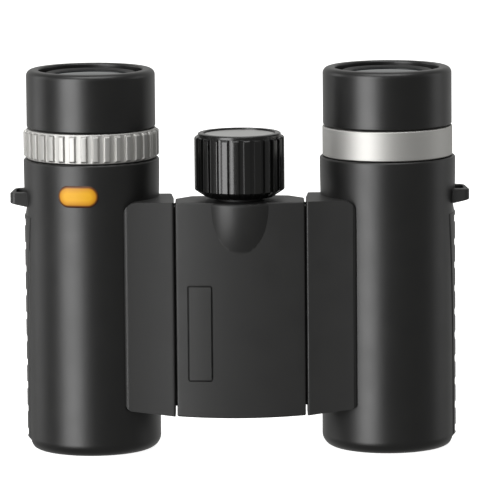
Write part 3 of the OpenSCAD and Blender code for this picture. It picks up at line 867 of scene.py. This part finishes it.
def backCover():
    c = cover
    low, high = coverLow.z + c["gap"], coverHigh.z - c["gap"]
    outline = roundedBox(-c["halfWidth"], c["halfWidth"], low, high, c["cornerRound"], 4)
    bm = moveVerts(prism(outline, 0, 2.0), lambda x, z, depth: (x, coverLow.y + depth, z))
    bmesh.ops.reverse_faces(bm, faces=bm.faces)
    flat = bridge["backFlat"]
    sliceAcross(bm, [-10, -flat, flat, 10])
    for v in bm.verts:
        if v.co.y > coverLow.y + 1:
            v.co.y = coverHigh.y - c["crown"] * max(0, abs(v.co.x) - flat)
    roundEdges(
        bm,
        lambda e: isBetween(e, lambda normal: normal.y > 0.8)
        and min(v.co.y for v in e.verts) > coverLow.y + 1,
        c["edgeRound"],
        3,
    )
    # shallow panel with a frame round it, and a well for each screw head
    panel = roundedBox(
        -c["panelHalf"], c["panelHalf"], low + c["panelInset"], high - c["panelInset"], c["panelRound"], 5
    )
    floor = coverHigh.y - c["panelDepth"]
    bm = carve(bm, moveVerts(prism(panel, 0, 3), lambda x, z, depth: (x, floor + depth, z)))
    screwLow, screwHigh = span("back_cover_screws")
    wellFloor = coverLow.y + c["wellFloor"]
    for screwX in (screwLow.x + c["screwInset"], screwHigh.x - c["screwInset"]):
        for screwZ in (screwLow.z + c["screwInset"], screwHigh.z - c["screwInset"]):
            well = rodShape(c["screwRadius"], 0, 4, (0, 0), 0, 40)
            bm = carve(bm, moveVerts(well, lambda x, y, z: (screwX + x, wellFloor + z, screwZ + y)))
    return bm


finishMesh("backCover", backCover(), "sparkErodedNylon", "bridge", ["bridge_back_cover"])
print("bridge built")

wheel = {
    "flutes": 25,
    "firstFlute": 2.3,  # degrees from the front
    "fluteWidth": 1.3,
    "fluteDepth": 0.72,
    "footIn": 2.7,
    "footRise": 1.8,
    "ribDrop": 0.95,  # the ribs stop this far below the top, where a narrower cap rises
    "ribRound": 0.62,
    "capIn": 0.85,
    "capRound": 0.3,
    "core": 7.5,
    "discDepth": 1,
    "discRecess": 0.3,  # of the grey disc, below the top
    "discGap": 0.1,
}


def wheelGrip():
    w = wheel
    low, high = span("focus_grip")
    radius = max(*(high - wheelAxis).xy, *(wheelAxis - low).xy)
    discLow, discHigh = span("focus_cap_disc")
    discRim = (discHigh.x - discLow.x) / 2
    bottom, top = low.z, high.z
    capRadius = radius - w["capIn"]
    outline = roundCorners(
        [
            (w["core"], bottom, 0),
            (radius - w["footIn"], bottom, 0.2),
            (radius, bottom + w["footRise"], 0.2),
            (radius, top - w["ribDrop"], w["ribRound"]),
            (capRadius, top - w["ribDrop"] + 0.1, 0.05),
            (capRadius, top - 0.2, w["capRound"]),
            (capRadius - 0.35, top, w["capRound"]),
            (discRim, top, 0.1),
            (discRim, top - w["discDepth"], 0),
            (w["core"], top - w["discDepth"], 0),
        ],
        6,
    )
    pitch = 360 / w["flutes"]
    halfWidth = math.degrees(w["fluteWidth"] / 2 / radius)
    # each flute: a steep wall, a nearly flat floor, a steep wall, all with small rounds
    profile = [(-1.1, 0), (-1.0, 0.05), (-0.95, 0.3), (-0.88, 0.82), (-0.8, 0.95), (-0.45, 1.0), (0, 1.0)]
    profile += [(-share, deep) for share, deep in reversed(profile[:-1])]
    ribHalf = (pitch - 2 * halfWidth) / 2
    deepAt = {}
    for i in range(w["flutes"]):
        centre = -90 + w["firstFlute"] + i * pitch
        for share, deep in profile:
            deepAt[math.radians(centre + share * halfWidth)] = deep
        for share in (-0.6, -0.2, 0.2, 0.6):
            deepAt[math.radians(centre + pitch / 2 + share * ribHalf)] = 0

    def flute(r, z, angle):
        if r < capRadius or z > top - 0.5:
            return r
        return min(r, radius - w["fluteDepth"] * deepAt[angle])

    return turned(outline, reshape=flute, angles=list(deepAt))


def wheelDisc():
    low, high = span("focus_cap_disc")
    radius = (high.x - low.x) / 2 - wheel["discGap"]
    top = high.z - wheel["discRecess"]
    return turned(roundCorners([(0, low.z, 0), (radius, low.z, 0), (radius, top, 0.12), (0, top, 0)], 3), 160)


finishMesh(
    "flutedGrip",
    wheelGrip(),
    "polishedRubber",
    "focus_wheel",
    ["focus_grip"],
    36,
    wheelPlace,
)
finishMesh(
    "wheelDisc",
    wheelDisc(),
    "turnedAluminium",
    "focus_wheel",
    ["focus_cap_disc"],
    at=wheelPlace,
)
print("focus wheel built")

ring = {
    "teeth": 36,
    "toothShare": 0.54,
    "toothHeight": 0.75,
    "toothEnd": 0.36,
    "bore": 12.7,
    "plainBore": 12.6,
    "plainRound": 0.35,
}


def knurledRing():
    k = ring
    low, high = span("left_diopter_ring")
    crest = (high.x - low.x) / 2
    valley = crest - k["toothHeight"]
    e = k["toothEnd"]
    outline = roundCorners(
        [
            (k["bore"], low.z, 0),
            (valley - 0.1, low.z, 0.25),
            (valley, low.z + e * 0.6, 0.1),
            (valley + 0.02, low.z + e, 0),
            (crest, low.z + 2 * e, 0.25),
            (crest, high.z - 2 * e, 0.25),
            (valley + 0.02, high.z - e, 0),
            (valley, high.z - e * 0.6, 0.1),
            (valley - 0.1, high.z, 0.25),
            (k["bore"], high.z, 0),
        ],
        4,
    )
    pitch = 2 * math.pi / k["teeth"]
    half = k["toothShare"] / 2
    # one flank of a tooth, then its middle, then the other flank
    flank = [(-0.03, 0.0), (0, 0.05), (0.04, 0.85), (0.08, 0.97), (0.13, 1.0)]
    flank = [(share - half, rise) for share, rise in flank]
    profile = flank + [(0, 1.0)] + [(-share, rise) for share, rise in reversed(flank)]
    riseAt = {}
    for i in range(k["teeth"]):
        for share, rise in profile:
            riseAt[(i + 0.5 + share) * pitch] = rise

    def tooth(r, z, angle):
        return min(r, valley + k["toothHeight"] * riseAt[angle]) if r > valley else r

    return turned(outline, reshape=tooth, angles=list(riseAt))


def plainRing():
    low, high = span("right_trim_ring")
    radius = (high.x - low.x) / 2
    bore, edge = ring["plainBore"], ring["plainRound"]
    corners = [(bore, low.z, 0), (radius, low.z, edge), (radius, high.z, edge), (bore, high.z, 0)]
    return turned(roundCorners(corners, 5), 200)


finishMesh(
    "knurledRing",
    knurledRing(),
    "beadBlastedAluminium",
    "left_diopter_ring",
    ["left_diopter_ring"],
    24,
    barrelPlace("left"),
)
finishMesh(
    "plainRing",
    plainRing(),
    "beadBlastedAluminium",
    "right_barrel",
    ["right_trim_ring"],
    at=barrelPlace("right"),
)

eyecup = {"lipRound": 1.5, "rimRound": 0.5, "footRound": 0.3, "opening": 13.0, "lipDepth": 2.6}
lens = {
    "eyeRadius": 9.15,
    "eyeThickness": 2.9,
    "eyeBelowCell": 0.35,
    "eyeBulge": 0.3,
    "fieldRadius": 8.55,
    "fieldHeights": (77, 80),
    "fieldBulge": 0.4,
    "objectiveRadius": 12.45,
    "objectiveBulges": (1.6, 1.0),  # downwards and upwards
}


def eyecupShape(side):
    e = eyecup
    low, high = span(side + "_eyecup_rubber")
    radius = (high.x - low.x) / 2
    inner = span(side + "_eyecup_sleeve")[1].x - barrelAxis[side].x
    lip = high.z - e["lipDepth"]
    outline = roundCorners(
        [
            (inner, low.z, 0),
            (radius, low.z, e["footRound"]),
            (radius, high.z, e["lipRound"]),
            (e["opening"], high.z, e["rimRound"]),
            (e["opening"], lip, 0.15),
            (inner, lip, 0),
        ],
        8,
    )
    return turned(outline, 200)


def lensShape(radius, low, high, lowBulge, highBulge, steps=14):
    # a lens between two curved faces; a positive bulge stands out
    bottom = [(radius * i / steps, low - lowBulge * (1 - (i / steps) ** 2)) for i in range(steps + 1)]
    top = [(radius * i / steps, high + highBulge * (1 - (i / steps) ** 2)) for i in range(steps, -1, -1)]
    return turned(bottom + top, 120)


def eyeLenses(side):
    # eye lens and field lens as one piece
    top = span(side + "_ocular_cell")[1].z - lens["eyeBelowCell"]
    bm = lensShape(lens["eyeRadius"], top - lens["eyeThickness"], top, 0, lens["eyeBulge"])
    low, high = lens["fieldHeights"]
    field = lensShape(lens["fieldRadius"], low, high, lens["fieldBulge"], lens["fieldBulge"])
    mesh = bpy.data.meshes.new("join")
    field.to_mesh(mesh)
    field.free()
    bm.from_mesh(mesh)
    bpy.data.meshes.remove(mesh)
    return bm


def objectiveGlass(side):
    low, high = span(side + "_objective_lens")
    down, up = lens["objectiveBulges"]
    return lensShape(lens["objectiveRadius"], low.z + down, high.z - up, down, up)


for side in sides:
    # only the left eyepiece moves for the dioptre setting
    ocularBody = "left_ocular" if side == "left" else "right_barrel"
    cup, barrel = side + "_eyecup", side + "_barrel"
    eyepiecePieces = (
        ("EyecupSkin", eyecupShape(side), "siliconeRubber", cup, "_eyecup_rubber", "eyecup_rubber"),
        ("EyeLenses", eyeLenses(side), "coatedGlass", ocularBody, "_ocular_lenses", "coated_glass"),
        ("ObjectiveGlass", objectiveGlass(side), "coatedGlass", barrel, "_objective_lens", "coated_glass"),
    )
    for ending, shape, finish, body, node, slot in eyepiecePieces:
        finishMesh(side + ending, shape, finish, body, [side + node], at=barrelPlace(side))
print("eyepieces built")

badge = {
    "proud": 0.6,
    "above": 0.02,  # its border, above the armour
    "sunk": 0.3,  # its foot, below the border
    "stretch": 0.4,  # the outline is cut into pieces about this long, so that it follows the barrel
}


def badgeDome(steps=24):
    # a pill-shaped dome wrapped on the left barrel; rimness runs from 0 in the middle to 1 at the edge, and
    # the material paints shade with it towards the rim
    low, high = span("left_badge")
    centreX = (low.x + high.x) / 2 - barrelAxis["left"].x
    centreZ = (low.z + high.z) / 2
    halfX, halfZ = (high.x - low.x) / 2, (high.z - low.z) / 2
    corners = roundedBox(-halfX, halfX, -halfZ, halfZ, halfZ - 0.01, 14)
    outline = []
    for point, after in zip(corners, corners[1:] + corners[:1]):
        pieces = max(1, round((after - point).length / badge["stretch"]))
        outline += [point.lerp(after, k / pieces) for k in range(pieces)]
    bm = bmesh.new()
    # this layer carries the painted shade that darkens the dome's edge to brown
    layer = bm.verts.layers.float.new("rimShade")
    surface = armour["radius"] + badge["above"]
    lean = math.atan2(centreX, math.sqrt(surface ** 2 - centreX ** 2))

    def addRing(share, radius):
        # every ring shrinks towards the pill's middle line
        made = []
        for point in outline:
            core = min(max(point.x, -(halfX - halfZ)), halfX - halfZ)
            angle = lean + (core + (point.x - core) * share) / surface
            v = bm.verts.new((radius * math.sin(angle), -radius * math.cos(angle), centreZ + point.y * share))
            v[layer] = share
            made.append(v)
        return made

    rings = [addRing(1, surface - badge["sunk"])]
    for k in range(steps + 1):
        share = 1 - k / steps
        rings.append(addRing(share, surface + badge["proud"] * math.sqrt(max(0, 1 - share ** 4))))
    for lower, upper in zip(rings[:-1], rings[1:]):
        for i in range(len(lower)):
            n = (i + 1) % len(lower)
            bm.faces.new((lower[i], lower[n], upper[n], upper[i]))
    bm.faces.new(list(reversed(rings[0])))
    bmesh.ops.remove_doubles(bm, verts=bm.verts, dist=1e-4)
    bmesh.ops.holes_fill(bm, edges=bm.edges)
    return bm


finishMesh(
    "amberBadge",
    badgeDome(),
    "amberResin",
    "left_barrel",
    ["left_badge"],
    60,
    barrelPlace("left"),
)
print("badge built")

# the CAD pieces that stay, by the ending of their names
plainNodes = {
    "blackenedPlastic": [
        "eyepiece_tube",
        "objective_cell",
        "objective_ring",
        "prism_holder",
        "ocular_cell",
        "eyecup_cam",
        "eyecup_sleeve",
        "focus_hub",
        "hinge_pin_plugs",
        "shaft_bush",
    ],
    "groundSteel": [
        "hinge_pins",
        "guide_rods",
        "back_cover_screws",
        "focus_screw",
        "focus_hub_screw",
        "shaft_circlip",
    ],
    "castAlloy": ["focus_carriage", "focus_cell"],
    "machinedBrass": ["carriage_nut"],
    "coatedGlass": ["prisms", "focus_lens"],
}

for finish, endings in plainNodes.items():
    for name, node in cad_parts.items():
        if name in endings or name.split("_", 1)[-1] in endings:
            node.data.materials.clear()
            node.data.materials.append(finishes[finish])
print("CAD nodes finished")

studio = {
    "glow": 0.95,  # how bright the paper is
    "paperNear": -2.4,
    "paperFar": 2.4,
    "paperSide": 2.0,
    "ambient": 0.28,
    "backLight": 0.6,
    "aim": (0, 0, 0.05),  # where the lamps point
}
# degrees to the right of the camera's side, degrees up, distance, size, power
lamps = {
    "keyLeft": (-37, 5, 1.2, (0.72, 1.5), 21),  # the tall highlight on the left of each barrel
    "leftPanel": (-105, 10, 1.3, (0.6, 1.1), 3.2),  # lifts the outer left edges
    "rightPanel": (98, 10, 1.3, (0.6, 1.1), 1.7),  # lifts the outer right edges
    "topFill": (0, 78, 1.1, (0.9, 0.6), 6.5),  # the disc, the lips of the eyecups and the top edges
}


def paperFloor():
    # one sheet of white paper that glows, so that the object stands before plain white
    near, far, side = studio["paperNear"], studio["paperFar"], studio["paperSide"]
    bm = bmesh.new()
    corners = [(-side, near), (side, near), (side, far), (-side, far)]
    bm.faces.new([bm.verts.new((x, y, 0)) for x, y in corners])
    mesh = bpy.data.meshes.new("paperFloor")
    bm.to_mesh(mesh)
    bm.free()
    made = bpy.data.objects.new("paperFloor", mesh)
    bpy.context.scene.collection.objects.link(made)
    paper = newMaterial(
        "whitePaper",
        {
            "Base Color": linear("#e4e4e2"),
            "Roughness": 0.9,
            "Emission Color": linear("#ffffff"),
            "Emission Strength": studio["glow"],
        },
    )[0]
    mesh.materials.append(paper)
    # the paper stays out of the reflections, which come from the room and the lamps
    made.visible_glossy = False
    made.visible_diffuse = False


def softBox(name, azimuth, elevation, distance, size, power):
    data = bpy.data.lights.new(name, "AREA")
    data.shape = "RECTANGLE"
    data.size, data.size_y = size
    data.energy = power
    lamp = bpy.data.objects.new(name, data)
    bpy.context.scene.collection.objects.link(lamp)
    a, e = math.radians(azimuth), math.radians(elevation)
    target = Vector(studio["aim"])
    place = target + distance * Vector((math.sin(a) * math.cos(e), -math.cos(a) * math.cos(e), math.sin(e)))
    lamp.location = place
    lamp.rotation_euler = (target - place).to_track_quat("-Z", "Y").to_euler()


def studioWorld():
    # a grey room, brighter behind the object than before it
    world = bpy.data.worlds.new("studio")
    bpy.context.scene.world = world
    world.use_nodes = True
    tree = world.node_tree
    direction = addNode(tree, "ShaderNodeTexCoord").outputs["Generated"]
    parts = addNode(tree, "ShaderNodeSeparateXYZ", links={"Vector": direction})
    strength = addNode(
        tree,
        "ShaderNodeMapRange",
        {"From Min": 0.2, "From Max": 0.9, "To Min": studio["ambient"], "To Max": studio["backLight"]},
        {"Value": parts.outputs["Y"]},
    )
    background = tree.nodes["Background"]
    background.inputs["Color"].default_value = linear("#f2f2f0")
    tree.links.new(strength.outputs["Result"], background.inputs["Strength"])


paperFloor()
for name, values in lamps.items():
    softBox(name, *values)
studioWorld()
print("stage set")
